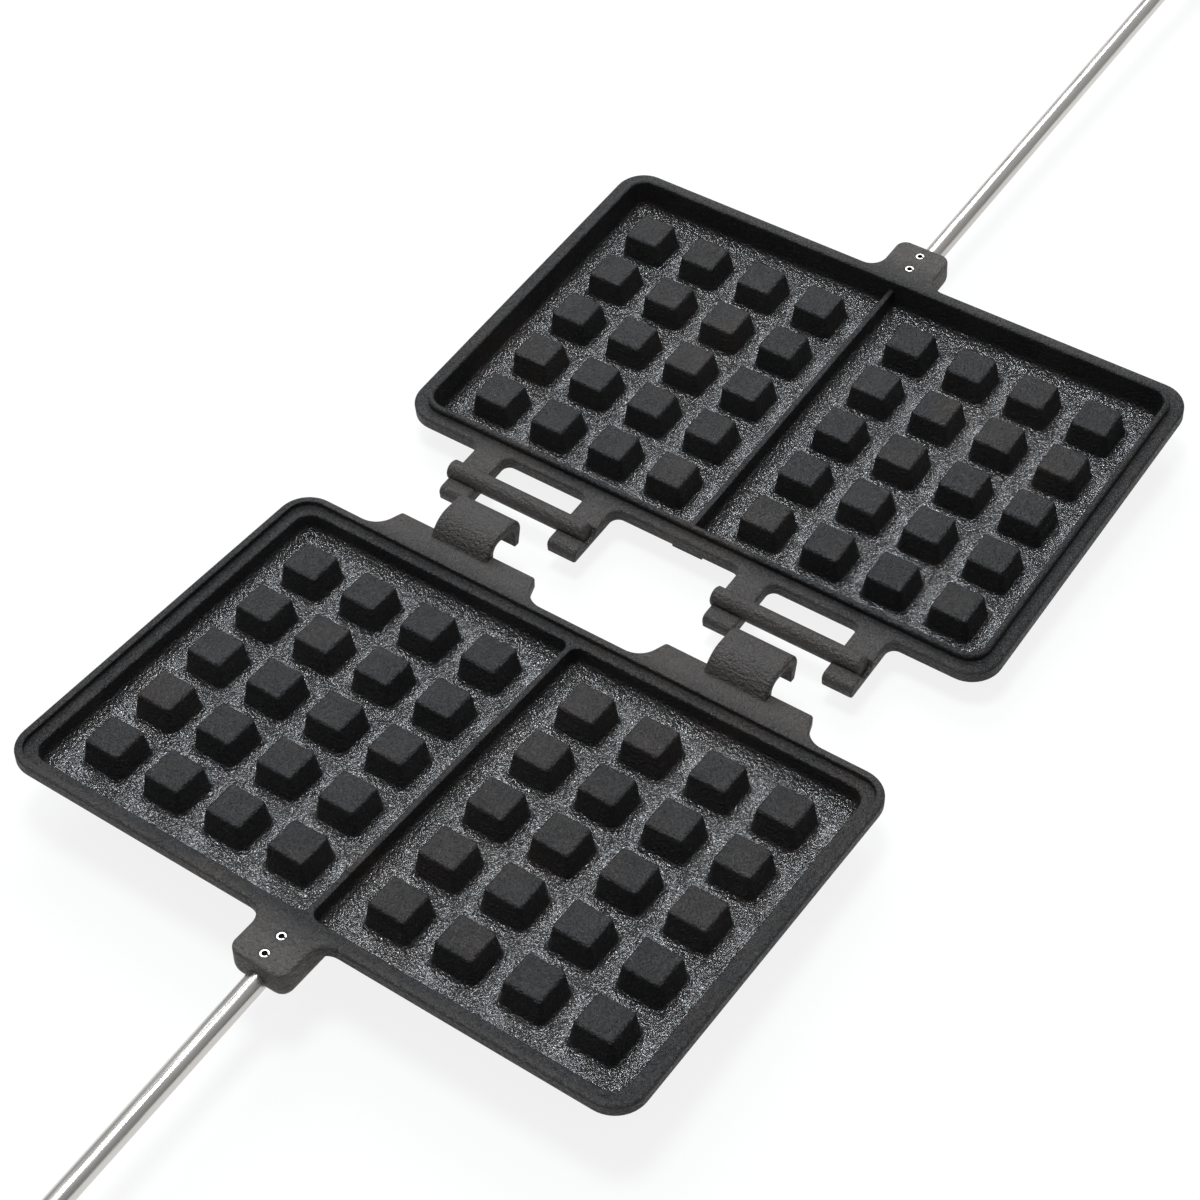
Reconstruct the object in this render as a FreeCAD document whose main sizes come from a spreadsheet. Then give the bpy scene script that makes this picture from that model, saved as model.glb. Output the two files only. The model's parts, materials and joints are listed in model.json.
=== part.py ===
import FreeCAD, Part
import math
import os
from FreeCAD import Placement, Rotation, Vector

# A stovetop waffle iron lying open. The hook half is nearer -Y, the bar half nearer +Y.
# Each half is modelled about its own centre, with z = 0 at its peg tops, and then laid down.
# Along its width a half is described by "reach", measured towards the hinge side.

SIZES = {
    # Cast plates, both halves
    "plate_half_length": 117.0,
    "plate_half_width": 73.0,
    "plate_corner": 11.0,
    "face_height": 0.85,
    "flange_thickness": 4.5,
    "edge_round": 0.8,
    "under_edge_round": 1.0,
    "cavity_half_length": 110.3,
    "cavity_half_width": 66.6,
    "cavity_corner": 6.0,
    "wall_draft": 3.0,
    "cavity_fillet": 5.2,
    "tray_wall": 3.2,
    "tray_floor": 3.2,
    "tray_round": 8.0,
    # Divider between the two cavities
    "rib_half_width": 0.95,
    "rib_drop": 2.05,
    "rib_fillet": 5.0,
    "rib_top_round": 0.5,
    "rib_end_flare": 3.2,
    # Pegs
    "peg_height": 10.7,
    "peg_half_length": 8.5,
    "peg_half_width": 8.3,
    "peg_corner": 2.9,
    "peg_draft": 10.0,
    "peg_top_round": 0.9,
    "peg_foot_fillet": 2.5,
    "first_column": 19.1,
    "column_pitch": 24.5,
    "row_pitch": 23.75,
    # Rabbet of the hook half and lip of the bar half
    "rabbet_half_length": 114.2,
    "rabbet_half_width": 70.3,
    "rabbet_corner": 8.0,
    "rabbet_depth": 2.1,
    "lip_wall": 2.0,
    "lip_height": 2.3,
    "lip_round": 0.85,
    # Tabs and hooks
    "tab_half_length": 27.6,
    "tab_root_half_length": 31.0,
    "tab_reach": 9.9,
    "tab_root_fillet": 8.0,
    "tab_corner": 1.2,
    "left_tab_place": -54.05,
    "right_tab_place": 53.0,
    "hook_half_length": 11.5,
    "left_hook_place": -55.1,
    "right_hook_place": 53.6,
    "hook_root": 4.1,
    "hook_throat": 11.9,
    "hook_thickness": 3.6,
    "hook_rise": 6.4,
    "hook_arch": 3.95,
    "hook_drop": 4.85,
    "hook_edge_round": 0.9,
    # Forked lugs and the bars across them
    "fork_half_length": 28.6,
    "window_half_length": 17.1,
    "left_fork_place": -54.3,
    "right_fork_place": 53.9,
    "fork_reach": 24.0,
    "fork_nose_round": 2.4,
    "window_corner": 3.0,
    "fork_root_fillet": 3.5,
    "bar_diameter": 7.0,
    "bar_half_length": 28.35,
    "bar_shift": -1.3,
    "bar_reach": 14.3,
    "bar_sink": -0.35,
    "bar_fit": 0.05,
    "bar_end_chamfer": 0.5,
    # Handle lugs
    "lug_half_width": 10.5,
    "lug_reach": 17.0,
    "lug_depth": 12.85,
    "lug_corner": 4.0,
    "lug_root_fillet": 6.0,
    "lug_under_round": 6.0,
    "hook_lug_place": 0.15,
    "bar_lug_place": 0.8,
    # Rods and pins
    "rod_diameter": 7.0,
    "rod_fit": 0.02,
    "rod_seat": 9.5,
    "rod_end_chamfer": 0.6,
    "hook_rod_depth": 6.3,
    "bar_rod_depth": 6.8,
    "hook_rod_drop": 4.6,
    "bar_rod_drop": 0.9,
    "pin_diameter": 3.0,
    "pin_wall": 0.55,
    "pin_slit": 0.6,
    "pin_fit": 0.02,
    "pin_pitch": 7.5,
    "pin_setback": 8.55,
    "pin_top_drop": 0.15,
    "pin_length": 12.0,
    # Grips
    "grip_start": 245.0,
    "collar_radius": 5.4,
    "collar_length": 3.0,
    "ferrule_radius": 12.0,
    "ferrule_wall": 1.0,
    "ferrule_length": 20.0,
    "ferrule_lip_round": 0.8,
    "grip_length": 119.0,
    "grip_waist_radius": 12.4,
    "grip_swell_radius": 14.8,
    "grip_ball_radius": 17.0,
    "grip_end_radius": 11.0,
    "grip_fit": 0.1,
    "washer_radius": 8.5,
    "washer_thickness": 1.5,
    "rivet_head_radius": 5.5,
    "rivet_head_height": 2.6,
    # How the open halves lie
    "bar_half_offset_x": -0.3,
    "bar_half_offset_y": 200.2,
    "bar_half_offset_z": 6.0,
    "open_tilt": 7.05,
    # Overrun of every cut, and slack within which an edge lies flat at a height
    "overrun": 2.0,
    "level_slack": 0.0006,
}

# Pegs in each cavity
PEG_COLUMNS = 4
PEG_ROWS = 5

# The two pins of a lug, with their shares of the pitch from the middle between them
PIN_SHARES = (("inner", -0.5), ("outer", 0.5))

# Shares of the hook's whole reach where its level crown starts and ends
HOOK_CROWN_SHARES = (0.495, 0.75)
# Share of the throat where its level roof starts, and of the arch's height that rounds its far corner
HOOK_ROOF_SHARE = 0.294
HOOK_CORNER_SHARE = 0.73
HOOK_TIP_TAPER_SHARE = 0.25

# Shares of the grip's length at its swell and waist
GRIP_SWELL_SHARE = 0.47
GRIP_WAIST_SHARE = 0.76

doc = FreeCAD.newDocument("waffle_iron")
sheet = doc.addObject("Spreadsheet::Sheet", "dims")
for row, (alias, number) in enumerate(SIZES.items(), start=1):
    sheet.set(f"A{row}", alias)
    sheet.set(f"B{row}", str(number))
    sheet.setAlias(f"B{row}", alias)
doc.recompute()


def size(alias):
    return float(sheet.get(alias))


def bind(thing, **formulas):
    """Tie properties to the sheet; each word in a formula is one of its aliases."""
    for name, formula in formulas.items():
        words = [f"dims.{word}" if word in SIZES else word for word in formula.split()]
        thing.setExpression(name, " ".join(words))


# Outlines

def rounded(corners):
    """Edges of a closed outline; each corner is x, y and the radius that rounds it."""
    bends = []
    for index, (x, y, radius) in enumerate(corners):
        here = Vector(x, y, 0)
        back = (Vector(*corners[index - 1][:2], 0) - here).normalize()
        ahead = (Vector(*corners[(index + 1) % len(corners)][:2], 0) - here).normalize()
        half = back.getAngle(ahead) / 2
        run = radius / math.tan(half)
        inward = (back + ahead).normalize()
        middle = here + inward * (radius / math.sin(half) - radius)
        bends.append((here + back * run, middle, here + ahead * run, radius))
    edges = []
    for index, (first, middle, last, radius) in enumerate(bends):
        before = bends[index - 1][2]
        edges.append(Part.LineSegment(before, first))
        if radius > 0:
            edges.append(Part.Arc(first, middle, last))
    return edges


def rectangle(half_length, half_width, corner):
    """Corners of a rectangle about the origin."""
    return [
        (-half_length, -half_width, corner),
        (half_length, -half_width, corner),
        (half_length, half_width, corner),
        (-half_length, half_width, corner),
    ]


def new_body(name):
    return doc.addObject("PartDesign::Body", name)


def sketch_on(body, name, role, edges, **formulas):
    """A sketch on one of the body's own planes, with its offset tied to the sheet."""
    sketch = body.newObject("Sketcher::SketchObject", name)
    plane = next(item for item in body.Origin.OriginFeatures if item.Role == role)
    sketch.AttachmentSupport = [(plane, "")]
    sketch.MapMode = "FlatFace"
    if "offset" in formulas:
        bind(sketch, **{"AttachmentOffset.Base.z": formulas["offset"]})
    sketch.addGeometry(edges, False)
    return sketch


def pad(body, name, sketch, length, down=False, draft=None):
    feature = body.newObject("PartDesign::Pad", name)
    feature.Profile = sketch
    feature.Reversed = down
    bind(feature, Length=length)
    if draft:
        bind(feature, TaperAngle=draft)
    doc.recompute()
    return feature


def pocket(body, name, sketch, length, draft=None):
    feature = body.newObject("PartDesign::Pocket", name)
    feature.Profile = sketch
    bind(feature, Length=length)
    if draft:
        bind(feature, TaperAngle=draft)
    before = feature.BaseFeature.Shape.Volume
    doc.recompute()
    if feature.Shape.Volume >= before:
        raise ValueError(f"{name} cuts nothing")
    return feature


def fillet(body, name, wanted, radius):
    """Round the edges of the body's last feature for which wanted(edge) is true."""
    base = body.Tip
    names = [f"Edge{i}" for i, edge in enumerate(base.Shape.Edges, start=1) if wanted(edge)]
    feature = body.newObject("PartDesign::Fillet", name)
    feature.Base = (base, names)
    bind(feature, Radius=radius)
    doc.recompute()
    return feature


def drill(body, name, radius, depth, place):
    """Cut a round hole that starts at the placement and runs along its Z."""
    feature = body.newObject("PartDesign::SubtractiveCylinder", name)
    bind(feature, Radius=radius, Height=depth)
    feature.Placement = place
    doc.recompute()
    return feature


def level(edge, height):
    """True for an edge that lies flat at a height."""
    box = edge.BoundBox
    slack = size("level_slack")
    return abs(box.ZMin - height) < slack and abs(box.ZMax - height) < slack


# Levels of a plate
FACE = size("face_height")
FLOOR = -size("peg_height")
BASE = FLOOR - size("tray_floor")
EDGE = size("plate_half_width")


# Cast plates

def lug_corners(place):
    """The handle lug's part of the face outline, on the side away from the hinge."""
    half = size("lug_half_width")
    end = -EDGE - size("lug_reach")
    root = size("lug_root_fillet")
    tip = size("lug_corner")
    return [
        (place - half, -EDGE, root),
        (place - half, end, tip),
        (place + half, end, tip),
        (place + half, -EDGE, root),
    ]


def tab_corners(place):
    """A tab that carries a hook, seen from right to left."""
    end = EDGE + size("tab_reach")
    root = size("tab_root_fillet")
    tip = size("tab_corner")
    return [
        (place + size("tab_root_half_length"), EDGE, root),
        (place + size("tab_half_length"), end, tip),
        (place - size("tab_half_length"), end, tip),
        (place - size("tab_root_half_length"), EDGE, root),
    ]


def fork_corners(place):
    """A forked lug with its open window, seen from right to left."""
    end = EDGE + size("fork_reach")
    outer = size("fork_half_length")
    inner = size("window_half_length")
    root = size("fork_root_fillet")
    inside = size("window_corner")
    return [
        (place + outer, EDGE, root),
        (place + outer, end, 0),
        (place + inner, end, 0),
        (place + inner, EDGE, inside),
        (place - inner, EDGE, inside),
        (place - inner, end, 0),
        (place - outer, end, 0),
        (place - outer, EDGE, root),
    ]


def turned(corners, hinge_side):
    """The outline as it lies, with the hinge side at +Y (1) or at -Y (-1)."""
    return [(x, y * hinge_side, radius) for x, y, radius in corners]


def plate_blank(name, hinge_side, lug_place, hinge_lugs):
    """Flange, hinge lugs, handle lug and tray, before the hollows are cut."""
    body = new_body(name)
    length = size("plate_half_length")
    corner = size("plate_corner")
    outline = [(-length, -EDGE, corner), *lug_corners(lug_place), (length, -EDGE, corner)]
    outline += [(length, EDGE, corner), *hinge_lugs, (-length, EDGE, corner)]
    face = sketch_on(
        body, f"{name}_face", "XY_Plane", rounded(turned(outline, hinge_side)), offset="face_height"
    )
    pad(body, f"{name}_flange", face, "flange_thickness", down=True)
    if hinge_side < 0:
        nose = EDGE + size("fork_reach")
        fillet(
            body,
            f"{name}_noses",
            lambda edge: level(edge, FACE) and abs(edge.CenterOfMass.y + nose) < size("edge_round") / 2,
            "fork_nose_round",
        )
    fillet(body, f"{name}_top_edge", lambda edge: level(edge, FACE), "edge_round")
    under = FACE - size("flange_thickness")
    if hinge_side > 0:
        fillet(body, f"{name}_under_edge", lambda edge: level(edge, under), "under_edge_round")
    tray = sketch_on(
        body,
        f"{name}_tray_outline",
        "XY_Plane",
        rounded(rectangle(
            size("cavity_half_length") + size("tray_wall"),
            size("cavity_half_width") + size("tray_wall"),
            size("cavity_corner") + size("tray_wall"),
        )),
    )
    pad(body, f"{name}_tray", tray, "peg_height + tray_floor", down=True, draft="0 - wall_draft")
    fillet(body, f"{name}_tray_round", lambda edge: level(edge, BASE), "tray_round")
    return body


def handle_lug(name, hinge_side, lug_place, rod):
    """The deep underside of the handle lug as its own solid, run into the tray's wall."""
    body = new_body(f"{name}_lug")
    half = size("lug_half_width")
    end = -EDGE - size("lug_reach")
    inner = -size("cavity_half_width")
    tip = size("lug_corner")
    shape = [
        (lug_place - half, inner, 0),
        (lug_place - half, end, tip),
        (lug_place + half, end, tip),
        (lug_place + half, inner, 0),
    ]
    outline = sketch_on(
        body,
        f"{name}_lug_outline",
        "XY_Plane",
        rounded(turned(shape, hinge_side)),
        offset="face_height - flange_thickness / 2",
    )
    pad(body, f"{name}_lug_pad", outline, "lug_depth - flange_thickness / 2", down=True)
    bottom = FACE - size("lug_depth")

    def under_edge(edge):
        return level(edge, bottom) and abs(edge.CenterOfMass.y) > size("cavity_half_width") + half / 2

    fillet(body, f"{name}_lug_round", under_edge, "lug_under_round")
    drill_lug(body, f"{name}_lug", hinge_side, lug_place, rod)
    return body


def cavities(body, name, top, top_height):
    """Both cavities cut as one hollow; the divider is put back afterwards."""
    hollow = sketch_on(
        body,
        f"{name}_cavity_outline",
        "XY_Plane",
        rounded(rectangle(size("cavity_half_length"), size("cavity_half_width"), size("cavity_corner"))),
        offset=top,
    )
    pocket(body, f"{name}_cavity", hollow, f"{top} + peg_height", draft="0 - wall_draft")
    reach = size("cavity_half_length") + size("tray_wall") / 2

    def floor_edge(edge):
        return level(edge, FLOOR) and abs(edge.CenterOfMass.x) < reach

    fillet(body, f"{name}_cavity_fillet", floor_edge, "cavity_fillet")
    fillet(
        body,
        f"{name}_cavity_rim",
        lambda edge: level(edge, top_height) and edge.BoundBox.XMax < reach
        and abs(edge.CenterOfMass.y) < size("cavity_half_width") + size("edge_round") / 2,
        "rib_top_round",
    )


def divider(body, name, top, ends_flared):
    """The low wall between the cavities, with a wide foot and, on one half, flared ends."""
    half = size("rib_half_width")
    flare = size("rib_fillet")
    rise = size("peg_height") + top
    foot = half + flare
    bend = flare * (1 - math.sqrt(0.5))
    low = FLOOR - size("overrun") / 2
    left = [Vector(-foot, low, 0), Vector(-foot, FLOOR, 0), Vector(-half, FLOOR + flare, 0)]
    right = [Vector(-point.x, point.y, 0) for point in left]
    crest = [Vector(-half, FLOOR + rise, 0), Vector(half, FLOOR + rise, 0)]
    foot_edges = [
        Part.LineSegment(left[0], left[1]),
        Part.Arc(left[1], Vector(-half - bend, FLOOR + bend, 0), left[2]),
        Part.LineSegment(left[2], crest[0]),
        Part.LineSegment(crest[0], crest[1]),
        Part.LineSegment(crest[1], right[2]),
        Part.Arc(right[2], Vector(half + bend, FLOOR + bend, 0), right[1]),
        Part.LineSegment(right[1], right[0]),
        Part.LineSegment(right[0], left[0]),
    ]
    section = sketch_on(body, f"{name}_divider_section", "XZ_Plane", foot_edges)
    rib = body.newObject("PartDesign::Pad", f"{name}_divider")
    rib.Profile = section
    rib.Midplane = True
    bind(rib, Length="2 * cavity_half_width + tray_wall")
    doc.recompute()
    if not ends_flared:
        return
    end = size("cavity_half_width")
    spread = size("rib_end_flare")
    bend = spread * (1 - math.sqrt(0.5))
    for side_name, side in (("far", 1), ("near", -1)):
        wall = side * (end + size("tray_wall") / 2)
        right = [
            Vector(half, side * (end - spread), 0),
            Vector(half + spread, side * end, 0),
            Vector(half + spread, wall, 0),
        ]
        left = [Vector(-point.x, point.y, 0) for point in right]
        edges = [
            Part.LineSegment(left[0], right[0]),
            Part.Arc(right[0], Vector(half + bend, side * (end - bend), 0), right[1]),
            Part.LineSegment(right[1], right[2]),
            Part.LineSegment(right[2], left[2]),
            Part.LineSegment(left[2], left[1]),
            Part.Arc(left[1], Vector(-half - bend, side * (end - bend), 0), left[0]),
        ]
        flared = sketch_on(
            body, f"{name}_{side_name}_flare", "XY_Plane", edges, offset="0 - peg_height"
        )
        pad(body, f"{name}_{side_name}_flare_pad", flared, "peg_height + face_height - rabbet_depth")


def peg(name):
    """One peg on a patch of floor, with its foot and its top rounded."""
    body = new_body(name)
    margin = size("peg_foot_fillet") + size("edge_round") / 2
    patch = sketch_on(
        body,
        f"{name}_patch_outline",
        "XY_Plane",
        rounded(rectangle(
            size("peg_half_length") + margin,
            size("peg_half_width") + margin,
            size("peg_corner") + margin,
        )),
        offset="0 - peg_height",
    )
    pad(body, f"{name}_patch", patch, "tray_floor / 2", down=True)
    foot = sketch_on(
        body,
        f"{name}_outline",
        "XY_Plane",
        rounded(rectangle(size("peg_half_length"), size("peg_half_width"), size("peg_corner"))),
        offset="0 - peg_height",
    )
    pad(body, f"{name}_stem", foot, "peg_height", draft="0 - peg_draft")
    fillet(body, f"{name}_top", lambda edge: level(edge, 0), "peg_top_round")
    foot_reach = size("peg_half_length") + size("edge_round") / 2

    def at_foot(edge):
        middle = edge.valueAt((edge.FirstParameter + edge.LastParameter) / 2)
        return level(edge, FLOOR) and max(abs(middle.x), abs(middle.y)) < foot_reach

    fillet(body, f"{name}_foot", at_foot, "peg_foot_fillet")
    return body


def peg_field(stem):
    """All pegs of one plate, in two blocks either side of the divider."""
    pegs = doc.addObject("Part::Feature", "pegs")
    places = []
    for column in range(PEG_COLUMNS):
        for row in range(PEG_ROWS):
            x = size("first_column") + column * size("column_pitch")
            y = (row - (PEG_ROWS - 1) / 2) * size("row_pitch")
            places += [Vector(x, y, 0), Vector(-x, y, 0)]
    pegs.Shape = Part.makeCompound([stem.Shape.translated(place) for place in places])
    return pegs


def arc_to_level(start, crown):
    """Arc from a start up to a crown where it runs level."""
    across = crown.x - start.x
    rise = crown.y - start.y
    radius = (across ** 2 + rise ** 2) / (2 * rise)
    centre = crown - Vector(0, radius, 0)
    bisector = ((start - centre).normalize() + Vector(0, 1, 0)).normalize()
    return Part.Arc(start, centre + bisector * radius, crown)


def hook_edges():
    """Side view of a hook: reach towards the hinge, then height."""
    tab = EDGE + size("tab_reach")
    back = Vector(tab - size("hook_root"), FACE, 0)
    throat = size("hook_throat")
    inner = tab + throat
    outer = inner + size("hook_thickness")
    tip = FACE - size("hook_drop")
    under = FACE - size("flange_thickness") / 2
    top = FACE + size("hook_rise")
    roof = FACE + size("hook_arch")
    bend = size("hook_arch") * HOOK_CORNER_SHARE
    reach = outer - back.x
    crown = [Vector(back.x + reach * share, top, 0) for share in HOOK_CROWN_SHARES]
    shoulder = Vector(outer, FACE, 0)
    tip_outer = Vector(outer - size("hook_thickness") * HOOK_TIP_TAPER_SHARE, tip, 0)
    roof_start = Vector(tab + throat * HOOK_ROOF_SHARE, roof, 0)
    roof_end = Vector(inner - bend, roof, 0)
    inner_top = Vector(inner, roof - bend, 0)
    corner = roof_end + Vector(bend * math.sqrt(0.5), -bend * (1 - math.sqrt(0.5)), 0)
    edge = Vector(tab, FACE, 0)
    buried = [Vector(tab - size("edge_round"), under, 0), Vector(back.x, under, 0)]
    return [
        arc_to_level(back, crown[0]),
        Part.LineSegment(crown[0], crown[1]),
        arc_to_level(shoulder, crown[1]),
        Part.LineSegment(shoulder, tip_outer),
        Part.LineSegment(tip_outer, Vector(inner, tip, 0)),
        Part.LineSegment(Vector(inner, tip, 0), inner_top),
        Part.Arc(inner_top, corner, roof_end),
        Part.LineSegment(roof_end, roof_start),
        arc_to_level(edge, roof_start),
        Part.LineSegment(edge, buried[0]),
        Part.LineSegment(buried[0], buried[1]),
        Part.LineSegment(buried[1], back),
    ]


def hook(side):
    """A hook as its own solid, cast onto its tab later."""
    body = new_body(f"{side}_hook")
    outline = sketch_on(body, f"{side}_hook_outline", "YZ_Plane", hook_edges())
    feature = body.newObject("PartDesign::Pad", f"{side}_hook_pad")
    feature.Profile = outline
    feature.Midplane = True
    bind(feature, Length="2 * hook_half_length")
    doc.recompute()
    half = size("hook_half_length")
    slack = size("edge_round") / 2
    outer_wall = EDGE + size("tab_reach") + size("hook_throat") + size("hook_thickness") / 2
    roof = FACE + size("hook_arch")

    def side_edge(edge):
        flat = edge.BoundBox.XLength < slack and abs(abs(edge.BoundBox.Center.x) - half) < slack
        middle = edge.valueAt((edge.FirstParameter + edge.LastParameter) / 2)
        return flat and middle.z > FACE - size("hook_drop") / 2 and (middle.y > outer_wall or middle.z > roof)

    fillet(body, f"{side}_hook_edges", side_edge, "hook_edge_round")
    bind(body, **{"Placement.Base.x": f"{side}_hook_place"})
    doc.recompute()
    return body


def rod_place(hinge_side, lug_place, depth, drop):
    """Frame of a rod: origin midway between its pins, Z along it away from the plate."""
    back = -hinge_side * (EDGE + size("pin_setback"))
    turn = hinge_side * (90 + drop)
    return Placement(Vector(lug_place, back, -depth), Rotation(Vector(1, 0, 0), turn))


def drill_lug(body, name, hinge_side, lug_place, rod):
    """Socket for the rod and two holes for its pins."""
    start = rod.multiply(Placement(Vector(0, 0, -size("rod_seat")), Rotation()))
    drill(body, f"{name}_socket", "rod_diameter / 2 + rod_fit", "rod_seat + lug_reach + overrun", start)
    for pin_name, step in PIN_SHARES:
        back = EDGE + size("pin_setback") + step * size("pin_pitch")
        spot = Vector(lug_place, -hinge_side * back, FACE - size("lug_depth") - size("overrun"))
        drill(
            body,
            f"{name}_{pin_name}_pin_hole",
            "pin_diameter / 2 + pin_fit",
            "lug_depth + 2 * overrun",
            Placement(spot, Rotation()),
        )


def joined(label, solids):
    """One casting from several solids, with the seams between them taken out."""
    casting = doc.addObject("Part::MultiFuse", label)
    casting.Shapes = solids
    casting.Refine = True
    casting.Label = label
    doc.recompute()
    return casting


def hook_plate(pegs, rod):
    tabs = tab_corners(size("right_tab_place")) + tab_corners(size("left_tab_place"))
    place = size("hook_lug_place")
    body = plate_blank("hook_casting", 1, place, tabs)
    step = sketch_on(
        body,
        "rabbet_outline",
        "XY_Plane",
        rounded(rectangle(size("rabbet_half_length"), size("rabbet_half_width"), size("rabbet_corner"))),
        offset="face_height",
    )
    pocket(body, "rabbet", step, "rabbet_depth")
    cavities(body, "hook_casting", "face_height - rabbet_depth", FACE - size("rabbet_depth"))
    divider(body, "hook_casting", FACE - size("rabbet_depth"), True)
    drill_lug(body, "hook_casting", 1, place, rod)
    lug = handle_lug("hook_casting", 1, place, rod)
    return joined("hook_plate", [body, lug, hook("left"), hook("right"), pegs])


def bar_plate(pegs, rod):
    forks = fork_corners(size("right_fork_place")) + fork_corners(size("left_fork_place"))
    place = size("bar_lug_place")
    body = plate_blank("bar_casting", -1, place, forks)
    wall = size("lip_wall")
    ring = sketch_on(
        body,
        "lip_outline",
        "XY_Plane",
        rounded(rectangle(
            size("cavity_half_length") + wall,
            size("cavity_half_width") + wall,
            size("cavity_corner") + wall,
        )),
        offset="face_height",
    )
    pad(body, "lip", ring, "lip_height")
    top = FACE + size("lip_height")
    fillet(body, "lip_outer_round", lambda edge: level(edge, top), "lip_round")
    cavities(body, "bar_casting", "face_height + lip_height", top)
    divider(body, "bar_casting", FACE - size("rib_drop"), False)
    drill_lug(body, "bar_casting", -1, place, rod)
    for side in ("left", "right"):
        middle = bar_middle(side)
        reach = size("bar_half_length") + size("overrun") * 2
        start = Placement(middle - Vector(reach, 0, 0), Rotation(Vector(0, 1, 0), 90))
        drill(
            body,
            f"{side}_bar_seat",
            "bar_diameter / 2 + bar_fit",
            "2 * bar_half_length + 4 * overrun",
            start,
        )
    return joined("bar_plate", [body, handle_lug("bar_casting", -1, place, rod), pegs])


def bar_middle(side):
    """Middle of a hinge bar in the bar half's own frame."""
    x = size(f"{side}_fork_place") + size("bar_shift")
    return Vector(x, -EDGE - size("bar_reach"), FACE - size("bar_sink"))


# Bars, rods, pins and grips

def hinge_bar(side):
    bar = doc.addObject("Part::Cylinder", f"{side}_bar_stock")
    bind(bar, Radius="bar_diameter / 2", Height="2 * bar_half_length")
    doc.recompute()
    ends = doc.addObject("Part::Chamfer", f"hinge_bar_{side}")
    ends.Base = bar
    chamfer = size("bar_end_chamfer")
    numbered = enumerate(bar.Shape.Edges, start=1)
    rims = [i for i, edge in numbered if edge.Closed and edge.BoundBox.ZLength < chamfer]
    ends.Edges = [(i, chamfer, chamfer) for i in rims]
    ends.Label = f"hinge_bar_{side}"
    doc.recompute()
    return ends


def turned_body(label, edges):
    """A body of revolution about its own Z; outline points are radius, then height."""
    body = new_body(label)
    body.Label = label
    outline = sketch_on(body, f"{label}_outline", "XZ_Plane", edges)
    feature = body.newObject("PartDesign::Revolution", f"{label}_turning")
    feature.Profile = outline
    feature.ReferenceAxis = (outline, ["V_Axis"])
    feature.Angle = 360.0
    doc.recompute()
    return body


def run(*points):
    """Straight edges from point to point, closed; each point is radius, then height."""
    corners = [Vector(radius, height, 0) for radius, height in points]
    return [Part.LineSegment(a, b) for a, b in zip(corners, corners[1:] + corners[:1])]


def handle_rod(label, drop, hinge_side):
    """Rod with an upset collar before the ferrule and a riveted head past the washer."""
    radius = size("rod_diameter") / 2
    chamfer = size("rod_end_chamfer")
    start = -size("rod_seat")
    front = size("grip_start")
    collar = size("collar_radius")
    head = front + size("grip_length") + size("washer_thickness")
    dome = size("rivet_head_radius")
    flat = dome - size("rivet_head_height")
    top = head + size("rivet_head_height")
    slope = size("collar_length") / 2
    edges = run(
        (0, start),
        (radius - chamfer, start),
        (radius, start + chamfer),
        (radius, front - size("collar_length")),
        (collar, front - slope),
        (collar, front),
        (radius, front),
        (radius, head),
        (dome, head),
        (flat, top),
        (0, top),
    )
    # The riveted head's dome takes the place of the straight edge over it
    edges.pop(-3)
    swell = (dome - flat) * math.sqrt(0.5)
    middle = Vector(flat + swell, head + size("rivet_head_height") * math.sqrt(0.5), 0)
    edges.append(Part.Arc(Vector(dome, head, 0), middle, Vector(flat, top, 0)))
    body = turned_body(label, edges)
    for pin_name, step in PIN_SHARES:
        spot = step * size("pin_pitch") / math.cos(math.radians(drop))
        upright = Rotation(Vector(1, 0, 0), -hinge_side * (90 + drop))
        across = Placement(Vector(0, 0, spot), upright)
        low = across.multiply(Placement(Vector(0, 0, -size("rod_diameter")), Rotation()))
        drill(body, f"{label}_{pin_name}_pin_hole", "pin_diameter / 2 + pin_fit", "2 * rod_diameter", low)
    return body


def spring_pin(label):
    """A rolled pin with a slit down its side, standing on its own origin."""
    outer = size("pin_diameter") / 2
    inner = outer - size("pin_wall")
    edges = run((inner, 0), (outer, 0), (outer, size("pin_length")), (inner, size("pin_length")))
    body = turned_body(label, edges)
    half = size("pin_slit") / 2
    reach = size("pin_diameter")
    cut = [
        Part.LineSegment(Vector(0, -half, 0), Vector(reach, -half, 0)),
        Part.LineSegment(Vector(reach, -half, 0), Vector(reach, half, 0)),
        Part.LineSegment(Vector(reach, half, 0), Vector(0, half, 0)),
        Part.LineSegment(Vector(0, half, 0), Vector(0, -half, 0)),
    ]
    slit = sketch_on(body, f"{label}_slit_outline", "XY_Plane", cut)
    feature = body.newObject("PartDesign::Pocket", f"{label}_slit")
    feature.Profile = slit
    feature.Reversed = True
    bind(feature, Length="pin_length")
    doc.recompute()
    return body


def ferrule(label):
    outer = size("ferrule_radius")
    wall = size("ferrule_wall")
    bore = size("rod_diameter") / 2 + size("grip_fit")
    front = size("grip_start")
    back = front + size("ferrule_length")
    body = turned_body(label, run(
        (bore, front),
        (outer, front),
        (outer, back),
        (outer - wall, back),
        (outer - wall, front + wall),
        (bore, front + wall),
    ))
    fillet(
        body,
        f"{label}_lip",
        lambda edge: level(edge, front) and edge.BoundBox.XMax > outer - wall,
        "ferrule_lip_round",
    )
    return body


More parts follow.
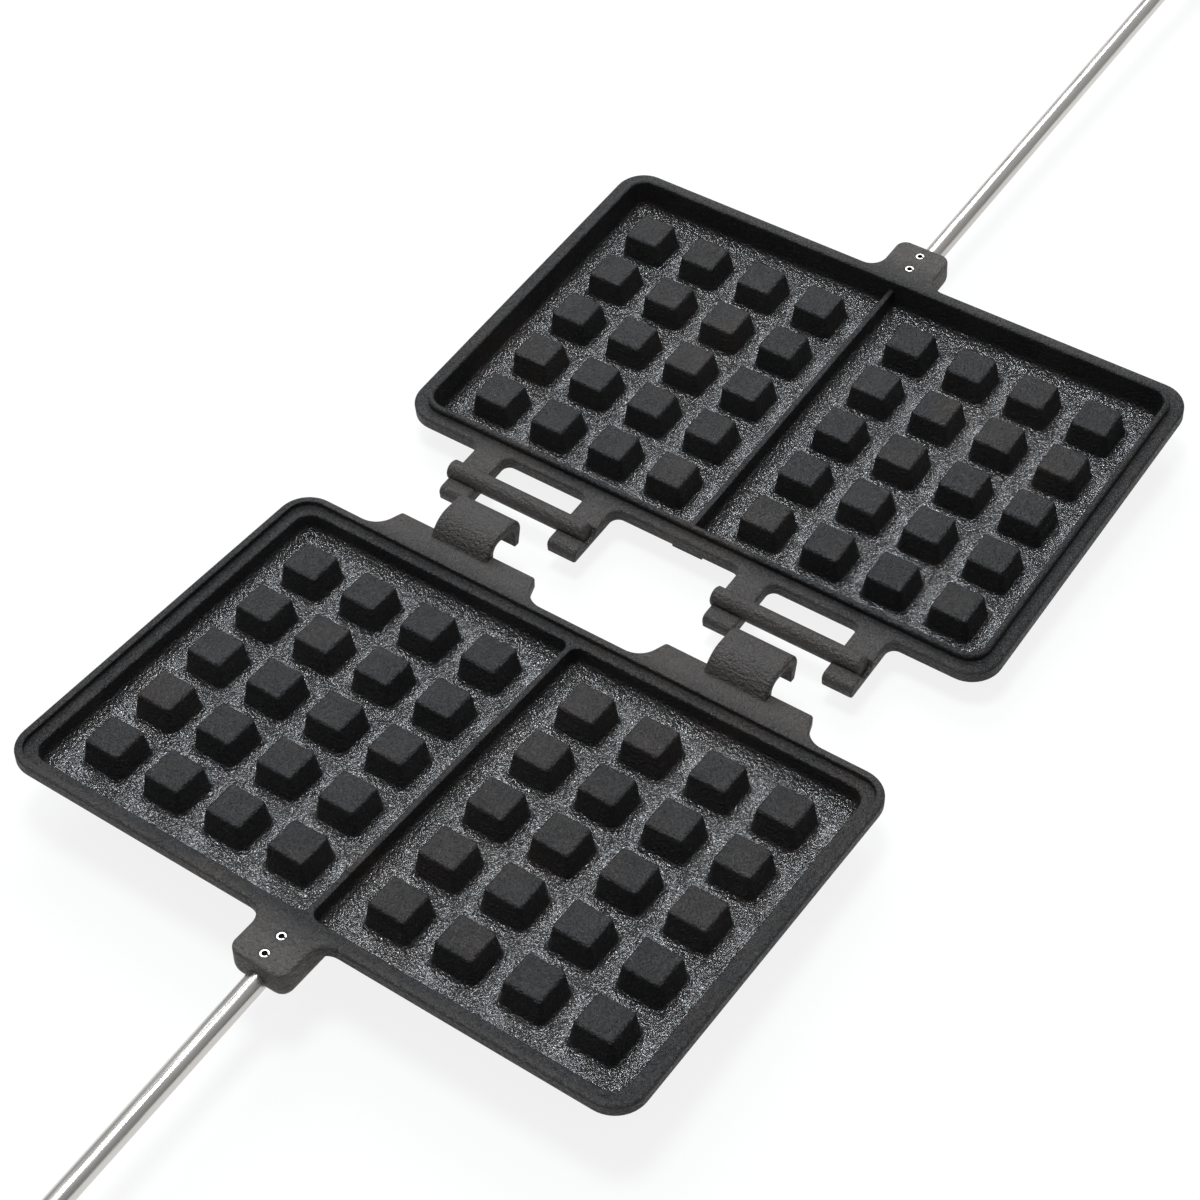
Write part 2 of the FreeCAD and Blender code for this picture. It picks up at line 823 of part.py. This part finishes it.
def grip(label):
    """Turned wooden grip: a neck inside the ferrule, a swell, a waist and a ball end."""
    bore = size("rod_diameter") / 2 + size("grip_fit")
    neck = size("ferrule_radius") - size("ferrule_wall") - size("grip_fit")
    front = size("grip_start") + size("ferrule_wall")
    shoulder = size("grip_start") + size("ferrule_length")
    end = size("grip_start") + size("grip_length")
    swell = size("grip_start") + size("grip_length") * GRIP_SWELL_SHARE
    waist = size("grip_start") + size("grip_length") * GRIP_WAIST_SHARE
    ball = ball_centre()
    radius = size("grip_ball_radius")
    neck_half = size("grip_waist_radius")
    ball_start = ball - math.sqrt(radius ** 2 - neck_half ** 2)
    edges = run(
        (neck_half, shoulder),
        (neck, shoulder),
        (neck, front),
        (bore, front),
        (bore, end),
        (size("grip_end_radius"), end),
    )
    # The turned outside takes the place of the edge that closes the run
    edges.pop()
    points = [Vector(neck_half, shoulder, 0), Vector(size("grip_swell_radius"), swell, 0)]
    points.append(Vector(neck_half, waist, 0))
    edges.append(Part.Arc(*points))
    edges.append(Part.LineSegment(points[-1], Vector(neck_half, ball_start, 0)))
    edges.append(Part.Arc(
        Vector(neck_half, ball_start, 0),
        Vector(radius, ball, 0),
        Vector(size("grip_end_radius"), end, 0),
    ))
    return turned_body(label, edges)


def ball_centre():
    """Distance of the grip's ball along the rod."""
    setback = math.sqrt(size("grip_ball_radius") ** 2 - size("grip_end_radius") ** 2)
    return size("grip_start") + size("grip_length") - setback


def washer(label):
    bore = size("rod_diameter") / 2 + size("grip_fit")
    front = size("grip_start") + size("grip_length")
    back = front + size("washer_thickness")
    edges = run((bore, front), (size("washer_radius"), front), (size("washer_radius"), back), (bore, back))
    return turned_body(label, edges)


# Build both halves about their own centres

waffle_peg = peg("waffle_peg")
all_pegs = peg_field(waffle_peg)
hook_rod_place = rod_place(1, size("hook_lug_place"), size("hook_rod_depth"), size("hook_rod_drop"))
bar_rod_place = rod_place(-1, size("bar_lug_place"), size("bar_rod_depth"), size("bar_rod_drop"))


def half_pieces(half, hinge_side, drop, lug_place, rod):
    """The handle's pieces of one half, each with its place in that half's frame."""
    placed = {}
    placed[f"{half}_rod"] = (handle_rod(f"{half}_rod", drop, hinge_side), rod)
    placed[f"{half}_ferrule"] = (ferrule(f"{half}_ferrule"), rod)
    placed[f"{half}_grip"] = (grip(f"{half}_grip"), rod)
    placed[f"{half}_washer"] = (washer(f"{half}_washer"), rod)
    for pin_name, step in PIN_SHARES:
        back = EDGE + size("pin_setback") + step * size("pin_pitch")
        foot = FACE - size("pin_top_drop") - size("pin_length")
        spot = Placement(Vector(lug_place, -hinge_side * back, foot), Rotation())
        placed[f"{half}_pin_{pin_name}"] = (spring_pin(f"{half}_pin_{pin_name}"), spot)
    return placed


hook_half = {"hook_plate": (hook_plate(all_pegs, hook_rod_place), Placement())}
hook_half.update(half_pieces("hook", 1, size("hook_rod_drop"), size("hook_lug_place"), hook_rod_place))
bar_half = {"bar_plate": (bar_plate(all_pegs, bar_rod_place), Placement())}
bar_half.update(half_pieces("bar", -1, size("bar_rod_drop"), size("bar_lug_place"), bar_rod_place))
for side in ("left", "right"):
    flat = Rotation(Vector(0, 1, 0), 90)
    stock_end = bar_middle(side) - Vector(size("bar_half_length"), 0, 0)
    bar_half[f"hinge_bar_{side}"] = (hinge_bar(side), Placement(stock_end, flat))

# Lay the open iron down: it stands on the hook half's grip and the bar half's tray

offset = Vector(size("bar_half_offset_x"), size("bar_half_offset_y"), size("bar_half_offset_z"))
bar_in_hook = Placement(offset, Rotation(Vector(1, 0, 0), size("open_tilt")))
ball = hook_rod_place.multVec(Vector(0, 0, ball_centre()))
base_half_width = (
    size("cavity_half_width") + size("tray_wall")
    - (size("peg_height") + size("tray_floor")) * math.tan(math.radians(size("wall_draft")))
)
corner_run = size("tray_round") / math.tan(math.radians(45 + size("wall_draft") / 2))
round_centre = bar_in_hook.multVec(Vector(0, corner_run - base_half_width, BASE + size("tray_round")))
span = round_centre - ball
slope = math.atan2(span.z, span.y)
slope -= math.asin((size("tray_round") - size("grip_ball_radius")) / math.hypot(span.y, span.z))
level_table = Placement(Vector(), Rotation(Vector(1, 0, 0), -math.degrees(slope)))


def lay(pieces, half_place):
    for piece, own_place in pieces.values():
        piece.Placement = half_place.multiply(own_place)


lay(hook_half, level_table)
lay(bar_half, level_table.multiply(bar_in_hook))
doc.recompute()
nodes = {label: piece for label, (piece, place) in (hook_half | bar_half).items()}
box = Part.makeCompound([piece.Shape for piece in nodes.values()]).BoundBox
to_origin = Placement(Vector(-box.Center.x, -box.Center.y, -box.ZMin), Rotation())
table = to_origin.multiply(level_table)
lay(hook_half, table)
lay(bar_half, table.multiply(bar_in_hook))
doc.recompute()

# Check every object, then write the pieces

for item in doc.Objects:
    if {"Invalid", "Error"} & set(item.State):
        raise ValueError(f"{item.Name} failed")
for label, piece in nodes.items():
    piece.Label = label
    shape = piece.Shape
    if shape.isNull() or not shape.isValid() or len(shape.Solids) != 1:
        raise ValueError(f"{label} is not one valid solid")
os.makedirs("parts", exist_ok=True)
for label, piece in nodes.items():
    piece.Shape.exportStep(f"parts/{label}.step")
    print(label, round(piece.Shape.Volume), piece.Shape.BoundBox)
print("slope of the table", round(math.degrees(slope), 3))
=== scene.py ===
import bpy
import json
import math
from mathutils import Euler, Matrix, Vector


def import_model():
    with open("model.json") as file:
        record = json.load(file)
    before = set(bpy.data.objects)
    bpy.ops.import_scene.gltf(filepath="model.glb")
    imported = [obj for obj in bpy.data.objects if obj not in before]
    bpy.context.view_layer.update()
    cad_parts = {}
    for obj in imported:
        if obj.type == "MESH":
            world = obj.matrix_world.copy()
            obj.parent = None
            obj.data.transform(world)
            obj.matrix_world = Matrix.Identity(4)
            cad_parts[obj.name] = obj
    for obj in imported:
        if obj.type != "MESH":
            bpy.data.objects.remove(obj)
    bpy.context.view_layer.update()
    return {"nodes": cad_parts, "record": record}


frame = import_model()

# Camera of the photograph: lens and sensor in millimetres, place in metres, turn in degrees
LENS = 77.47
SENSOR = 36.0
CAMERA_PLACE = (0.33884, -0.46046, 0.64241)
CAMERA_TURN = (42.0387, 2.2202, 34.9469)
CAMERA_NEAR = 0.01

# Tones, as written in linear light
IRON = (0.006, 0.006, 0.0065)
IRON_WORN = (0.013, 0.0125, 0.0125)
IRON_BROWN = (0.030, 0.021, 0.016)
# Lighter dust tone; round the hinge it also serves as painted sheen
IRON_DUST_AND_SHEEN = (0.075, 0.066, 0.060)
STEEL = (0.62, 0.60, 0.575)
STEEL_DARK = (0.33, 0.31, 0.29)
PIN_STEEL = (0.42, 0.41, 0.40)
WOOD_LIGHT = (0.42, 0.22, 0.10)
WOOD_DARK = (0.20, 0.085, 0.035)
FLOOR = (0.80, 0.80, 0.80)
FLOOR_GRAIN = (0.816, 0.816, 0.816)
LAMP_TONE = (0.90, 0.95, 1.0)
WHITE = (1, 1, 1, 1)

# Height of the peg tops over a plate's flat base, and the depths below them where the oil starts
# and where it lies full
PEG_TOP_ABOVE_BASE = 0.0139
CAVITY_DRY = 0.0012
CAVITY_WET = 0.0060

# Upward share of a surface's direction where the oil starts and where it lies full
WALL_FACING = 0.20
FLOOR_FACING = 0.55

# Dust on the handle lugs, and round the hinge a lighter band that is partly dust and partly painted
# sheen, by the distance from the middle of the open iron
LUG_START = 0.168
LUG_END = 0.182
LUG_DUST = 0.8
HINGE_START = 0.032
HINGE_END = 0.024
# How much lighter the hinge band gets, partly dust and partly painted sheen
HINGE_DUST_AND_SHEEN = 0.5

# Grain of the casting: features per metre, bump heights in metres and their strengths
SAND_SCALE = 980
SKIN_SCALE = 1000
PATCH_SCALE = 42
BROWN_SCALE = 24
BROWN_MOST = 0.55
SKIN_BUMP = 0.0010
SKIN_STRENGTH = 0.95
SAND_BUMP = 0.0010
SAND_STRENGTH_DRY = 0.35
SAND_STRENGTH_WET = 1.0
EDGE_ROUND = 0.0013
EDGE_SAMPLES = 4

# Gloss of the casting: ranges of roughness, and the oil over it
DRY_ROUGHNESS = (0.38, 0.62)
WET_ROUGHNESS = (0.26, 0.40)
OIL_ROUGHNESS = 0.09
OIL_IOR = 2.1
IRON_SPECULAR = 0.3

# Bar stock: tarnish, draw lines and the stretch of both along a rod
TARNISH_SCALE = 60
LINE_SCALE = 1400
LINE_BUMP = 0.00004
LINE_STRENGTH = 0.25
STEEL_ROUGHNESS = (0.16, 0.30)
ALONG_ROD = (1, 0.03, 1)
EVEN = (1, 1, 1)

# Wood: growth rings stretched along the handle, and pores
RING_SCALE = 110.0
RING_STRETCH = (1.0, 0.06, 1.0)
RING_PLACE = (0.02, 0.0, 0.013)
RING_DISTORTION = 5.0
RING_DETAIL = 3.0
RING_DETAIL_SCALE = 1.4
PORE_SCALE = 1500
PORE_STRETCH = (1, 0.05, 1)
PORE_BUMP = 0.0001
PORE_STRENGTH = 0.3
WOOD_ROUGHNESS = (0.32, 0.46)

# Floor and room
FLOOR_SIZE = 6.0
FLOOR_WHITE = 0.85
FLOOR_ROUGHNESS = 0.9
FLOOR_SPECULAR = 0.1
FLOOR_SCALE = 300
ROOM_BRIGHT_SIDE = (-0.40, 0.55, 0.73)
ROOM_DARK = 0.05
ROOM_BRIGHT = 0.55

# Lamps: name, place, aim, width and height in metres, power in watts
LAMPS = (
    ("overhead", (-0.10, 0.05, 1.5), (0, 0, 0), 0.4, 0.4, 17),
    ("behind", (-0.85, 1.10, 1.30), (0, 0.05, 0), 1.2, 0.9, 23),
)

# Sockets of a Mix node that share their names with others: colours in and out, values in and out
COLOUR_LOW, COLOUR_HIGH, COLOUR_OUT = 6, 7, 2
VALUE_LOW, VALUE_HIGH, VALUE_OUT = 2, 3, 0


class Nodes:
    """A material's node tree, with short calls for the nodes that these finishes share."""

    def __init__(self, name):
        self.material = bpy.data.materials.new(name)
        self.material.use_nodes = True
        self.tree = self.material.node_tree
        self.tree.nodes.clear()
        self.shader = self.add("ShaderNodeBsdfPrincipled")
        self.output = self.add("ShaderNodeOutputMaterial")
        self.link(self.shader, "BSDF", self.output, "Surface")
        self.coordinates = self.add("ShaderNodeTexCoord")

    def add(self, kind, **values):
        node = self.tree.nodes.new(kind)
        for name, value in values.items():
            setattr(node, name, value)
        return node

    def link(self, source, output, target, socket):
        self.tree.links.new(source.outputs[output], target.inputs[socket])

    def constants(self, **values):
        """Set plain values on the shader; an underscore stands for a space."""
        for name, value in values.items():
            self.shader.inputs[name.replace("_", " ")].default_value = value

    def math(self, operation, first, first_output, second, second_output):
        node = self.add("ShaderNodeMath", operation=operation)
        self.link(first, first_output, node, 0)
        self.link(second, second_output, node, 1)
        return node

    def noise(self, scale, detail=4.0, roughness=0.6, stretch=EVEN):
        mapping = self.add("ShaderNodeMapping")
        mapping.inputs["Scale"].default_value = stretch
        self.link(self.coordinates, "Object", mapping, "Vector")
        texture = self.add("ShaderNodeTexNoise")
        texture.inputs["Scale"].default_value = scale
        texture.inputs["Detail"].default_value = detail
        texture.inputs["Roughness"].default_value = roughness
        self.link(mapping, "Vector", texture, "Vector")
        return texture

    def spread(self, source, output, low, high, from_low=0.35, from_high=0.65):
        """Map a texture's middle band, or another range, to a range of values."""
        node = self.add("ShaderNodeMapRange")
        node.inputs["From Min"].default_value = from_low
        node.inputs["From Max"].default_value = from_high
        node.inputs["To Min"].default_value = low
        node.inputs["To Max"].default_value = high
        self.link(source, output, node, "Value")
        return node

    def mix(self, factor, output, low, high):
        """Mix two tones, each a plain tone or an earlier mix."""
        node = self.add("ShaderNodeMix", data_type="RGBA")
        self.link(factor, output, node, "Factor")
        for socket, value in ((COLOUR_LOW, low), (COLOUR_HIGH, high)):
            if isinstance(value, bpy.types.Node):
                self.link(value, COLOUR_OUT, node, socket)
            else:
                node.inputs[socket].default_value = (*value, 1)
        return node

    def colour(self, node):
        self.link(node, COLOUR_OUT, self.shader, "Base Color")

    def bump(self, source, strength, distance, onto=None):
        node = self.add("ShaderNodeBump")
        node.inputs["Strength"].default_value = strength
        node.inputs["Distance"].default_value = distance
        self.link(source, "Fac", node, "Height")
        if onto:
            self.link(onto, "Normal", node, "Normal")
        return node


def oil_depth(nodes, place, level, slope):
    """How much oil lies at a point: none at the peg tops and walls, full on the cavity floors."""
    lean = nodes.add("ShaderNodeMath", operation="MULTIPLY_ADD")
    lean.inputs[1].default_value = -slope
    nodes.link(place, "Y", lean, 0)
    nodes.link(place, "Z", lean, 2)
    below = nodes.spread(lean, "Value", 1.0, 0.0, level - CAVITY_WET, level - CAVITY_DRY)
    facing = nodes.add("ShaderNodeSeparateXYZ")
    nodes.link(nodes.coordinates, "Normal", facing, "Vector")
    upward = nodes.spread(facing, "Z", 0.0, 1.0, WALL_FACING, FLOOR_FACING)
    return nodes.math("MULTIPLY", below, "Result", upward, "Result")


def dust_and_hinge_sheen(nodes, place):
    """How much lighter tone a point gets: dust on the handle lugs, and round the hinge a band that is
    partly dust and partly painted sheen.
    """
    outward = nodes.add("ShaderNodeMath", operation="ABSOLUTE")
    nodes.link(place, "Y", outward, 0)
    lug = nodes.spread(outward, "Value", 0.0, LUG_DUST, LUG_START, LUG_END)
    hinge = nodes.spread(outward, "Value", HINGE_DUST_AND_SHEEN, 0.0, HINGE_END, HINGE_START)
    return nodes.math("MAXIMUM", lug, "Result", hinge, "Result")


def cast_iron(name, level, slope):
    """Oiled black casting: dry sandy skin, glossy on the cavity floors, dusty on the lugs, and
    lighter round the hinge with partly dust and partly painted sheen.
    """
    nodes = Nodes(name)
    place = nodes.add("ShaderNodeSeparateXYZ")
    nodes.link(nodes.coordinates, "Object", place, "Vector")
    depth = oil_depth(nodes, place, level, slope)

    sand = nodes.noise(SAND_SCALE, detail=1.5, roughness=0.5)
    skin = nodes.noise(SKIN_SCALE, detail=2.0, roughness=0.6)
    patches = nodes.noise(PATCH_SCALE, detail=3.0, roughness=0.55)
    brown_places = nodes.noise(BROWN_SCALE, detail=4.0, roughness=0.7)
    worn = nodes.mix(nodes.spread(patches, "Fac", 0.0, 1.0), "Result", IRON, IRON_WORN)
    browning = nodes.spread(brown_places, "Fac", 0.0, BROWN_MOST, 0.5, 0.7)
    brown = nodes.mix(browning, "Result", worn, IRON_BROWN)
    # Dust tone on the lugs, and round the hinge a lighter tone that is partly dust and partly painted
    # sheen
    nodes.colour(nodes.mix(dust_and_hinge_sheen(nodes, place), "Value", brown, IRON_DUST_AND_SHEEN))

    finish = nodes.add("ShaderNodeMix")
    nodes.link(depth, "Value", finish, "Factor")
    nodes.link(nodes.spread(skin, "Fac", *DRY_ROUGHNESS), "Result", finish, VALUE_LOW)
    nodes.link(nodes.spread(sand, "Fac", *WET_ROUGHNESS), "Result", finish, VALUE_HIGH)
    nodes.link(finish, VALUE_OUT, nodes.shader, "Roughness")

    edges = nodes.add("ShaderNodeBevel", samples=EDGE_SAMPLES)
    edges.inputs["Radius"].default_value = EDGE_ROUND
    coarse = nodes.bump(skin, SKIN_STRENGTH, SKIN_BUMP, onto=edges)
    fine = nodes.bump(sand, SAND_STRENGTH_DRY, SAND_BUMP, onto=coarse)
    strength = nodes.spread(depth, "Value", SAND_STRENGTH_DRY, SAND_STRENGTH_WET, 0.0, 1.0)
    nodes.link(strength, "Result", fine, "Strength")
    nodes.link(fine, "Normal", nodes.shader, "Normal")
    nodes.link(fine, "Normal", nodes.shader, "Coat Normal")
    nodes.link(depth, "Value", nodes.shader, "Coat Weight")
    nodes.constants(Coat_Roughness=OIL_ROUGHNESS, Coat_IOR=OIL_IOR, Specular_IOR_Level=IRON_SPECULAR)
    return nodes.material


def drawn_steel(name, light, stretch):
    """Bright bar stock with fine draw lines and a little tarnish."""
    nodes = Nodes(name)
    nodes.constants(Metallic=1.0)
    tarnish = nodes.noise(TARNISH_SCALE, stretch=stretch)
    dull = nodes.spread(tarnish, "Fac", 0.0, 1.0, 0.4, 0.75)
    nodes.colour(nodes.mix(dull, "Result", light, STEEL_DARK))
    lines = nodes.noise(LINE_SCALE, detail=2.0, stretch=stretch)
    nodes.link(nodes.spread(lines, "Fac", *STEEL_ROUGHNESS), "Result", nodes.shader, "Roughness")
    nodes.link(nodes.bump(lines, LINE_STRENGTH, LINE_BUMP), "Normal", nodes.shader, "Normal")
    return nodes.material


def turned_wood(name):
    """Oiled hardwood with its grain along the handle."""
    nodes = Nodes(name)
    mapping = nodes.add("ShaderNodeMapping")
    mapping.inputs["Scale"].default_value = RING_STRETCH
    mapping.inputs["Location"].default_value = RING_PLACE
    nodes.link(nodes.coordinates, "Object", mapping, "Vector")
    rings = nodes.add("ShaderNodeTexWave", wave_type="RINGS", rings_direction="Y")
    nodes.link(mapping, "Vector", rings, "Vector")
    rings.inputs["Scale"].default_value = RING_SCALE
    rings.inputs["Distortion"].default_value = RING_DISTORTION
    rings.inputs["Detail"].default_value = RING_DETAIL
    rings.inputs["Detail Scale"].default_value = RING_DETAIL_SCALE
    pores = nodes.noise(PORE_SCALE, detail=3.0, stretch=PORE_STRETCH)
    growth = nodes.spread(rings, "Fac", 0.15, 0.85, 0.1, 0.9)
    grain = nodes.mix(growth, "Result", WOOD_LIGHT, WOOD_DARK)
    specks = nodes.spread(pores, "Fac", 0.0, 0.5, 0.55, 0.75)
    nodes.colour(nodes.mix(specks, "Result", grain, WOOD_DARK))
    nodes.link(nodes.spread(pores, "Fac", *WOOD_ROUGHNESS), "Result", nodes.shader, "Roughness")
    nodes.link(nodes.bump(pores, PORE_STRENGTH, PORE_BUMP), "Normal", nodes.shader, "Normal")
    return nodes.material


def assign(node, material):
    thing = frame["nodes"][node]
    thing.data.materials.clear()
    thing.data.materials.append(material)


def mount(name):
    """Place and slope of a plate's flat base, from the record."""
    entry = next(item for item in frame["record"]["mounts"] if item["name"] == name)
    axis = Vector(entry["axis"])
    return Vector(entry["pos_m"]), -axis.y / axis.z


def plain_view(nodes, amount):
    """A factor that is the amount for camera, glossy and transmission rays, and zero for the rest."""
    rays = nodes.add("ShaderNodeLightPath")
    some = nodes.math("ADD", rays, "Is Camera Ray", rays, "Is Glossy Ray")
    seen = nodes.math("ADD", some, "Value", rays, "Is Transmission Ray")
    seen.use_clamp = True
    scaled = nodes.add("ShaderNodeMath", operation="MULTIPLY")
    nodes.link(seen, "Value", scaled, 0)
    scaled.inputs[1].default_value = amount
    return scaled


def floor():
    """A pale table that shows almost white and keeps a soft shadow."""
    bpy.ops.mesh.primitive_plane_add(size=FLOOR_SIZE, location=(0, 0, 0))
    plane = bpy.context.object
    plane.name = "floor"
    nodes = Nodes("floor_paper")
    grain = nodes.noise(FLOOR_SCALE, detail=2.0)
    nodes.colour(nodes.mix(nodes.spread(grain, "Fac", 0.0, 1.0), "Result", FLOOR, FLOOR_GRAIN))
    nodes.constants(Roughness=FLOOR_ROUGHNESS, Specular_IOR_Level=FLOOR_SPECULAR)
    glow = nodes.add("ShaderNodeEmission")
    glow.inputs["Color"].default_value = WHITE
    glow.inputs["Strength"].default_value = 1.0
    both = nodes.add("ShaderNodeMixShader")
    nodes.link(plain_view(nodes, FLOOR_WHITE), "Value", both, 0)
    nodes.link(nodes.shader, "BSDF", both, 1)
    nodes.link(glow, "Emission", both, 2)
    nodes.link(both, "Shader", nodes.output, "Surface")
    plane.data.materials.append(nodes.material)


def lamp(name, place, aim, width, height, power):
    data = bpy.data.lights.new(name, "AREA")
    data.color = LAMP_TONE
    data.shape = "RECTANGLE"
    data.size = width
    data.size_y = height
    data.energy = power
    thing = bpy.data.objects.new(name, data)
    thing.location = place
    thing.rotation_euler = (Vector(aim) - Vector(place)).to_track_quat("-Z", "Y").to_euler()
    bpy.context.collection.objects.link(thing)


def world():
    """Soft room light, stronger from behind and above, and white where the camera sees it."""
    scene = bpy.context.scene
    scene.world = bpy.data.worlds.new("studio")
    scene.world.use_nodes = True
    tree = scene.world.node_tree
    back = tree.nodes["Background"]
    back.inputs["Color"].default_value = WHITE
    coordinates = tree.nodes.new("ShaderNodeTexCoord")
    facing = tree.nodes.new("ShaderNodeVectorMath")
    facing.operation = "DOT_PRODUCT"
    tree.links.new(coordinates.outputs["Generated"], facing.inputs[0])
    facing.inputs[1].default_value = ROOM_BRIGHT_SIDE
    level = tree.nodes.new("ShaderNodeMapRange")
    level.inputs["From Min"].default_value = -1.0
    level.inputs["From Max"].default_value = 1.0
    level.inputs["To Min"].default_value = ROOM_DARK
    level.inputs["To Max"].default_value = ROOM_BRIGHT
    tree.links.new(facing.outputs["Value"], level.inputs["Value"])
    tree.links.new(level.outputs["Result"], back.inputs["Strength"])
    white = tree.nodes.new("ShaderNodeBackground")
    white.inputs["Color"].default_value = WHITE
    white.inputs["Strength"].default_value = 1.0
    both = tree.nodes.new("ShaderNodeMixShader")
    rays = tree.nodes.new("ShaderNodeLightPath")
    tree.links.new(rays.outputs["Is Camera Ray"], both.inputs[0])
    tree.links.new(back.outputs[0], both.inputs[1])
    tree.links.new(white.outputs[0], both.inputs[2])
    tree.links.new(both.outputs[0], tree.nodes["World Output"].inputs["Surface"])


def camera():
    data = bpy.data.cameras.new("camera")
    data.lens = LENS
    data.sensor_width = SENSOR
    data.clip_start = CAMERA_NEAR
    thing = bpy.data.objects.new("camera", data)
    thing.location = CAMERA_PLACE
    thing.rotation_euler = Euler([math.radians(turn) for turn in CAMERA_TURN], "XYZ")
    bpy.context.collection.objects.link(thing)
    bpy.context.scene.camera = thing


# Materials of the pieces

steel = drawn_steel("rod_steel", STEEL, ALONG_ROD)
pressed = drawn_steel("pressed_steel", STEEL, EVEN)
pin_steel = drawn_steel("pin_steel", PIN_STEEL, EVEN)
wood = turned_wood("grip_wood")
iron_bar = cast_iron("blackened_bar", 0.0, 0.0)
for half in ("hook", "bar"):
    base, slope = mount(f"{half}_plate_base")
    level = base.z - slope * base.y + PEG_TOP_ABOVE_BASE
    assign(f"{half}_plate", cast_iron(f"{half}_casting", level, slope))
    assign(f"{half}_rod", steel)
    assign(f"{half}_ferrule", pressed)
    assign(f"{half}_washer", pressed)
    assign(f"{half}_grip", wood)
    assign(f"{half}_pin_inner", pin_steel)
    assign(f"{half}_pin_outer", pin_steel)
for side in ("left", "right"):
    assign(f"hinge_bar_{side}", iron_bar)

# Floor, light and camera

floor()
world()
for name, *values in LAMPS:
    lamp(name, *values)
camera()
bpy.context.scene.view_settings.view_transform = "Standard"
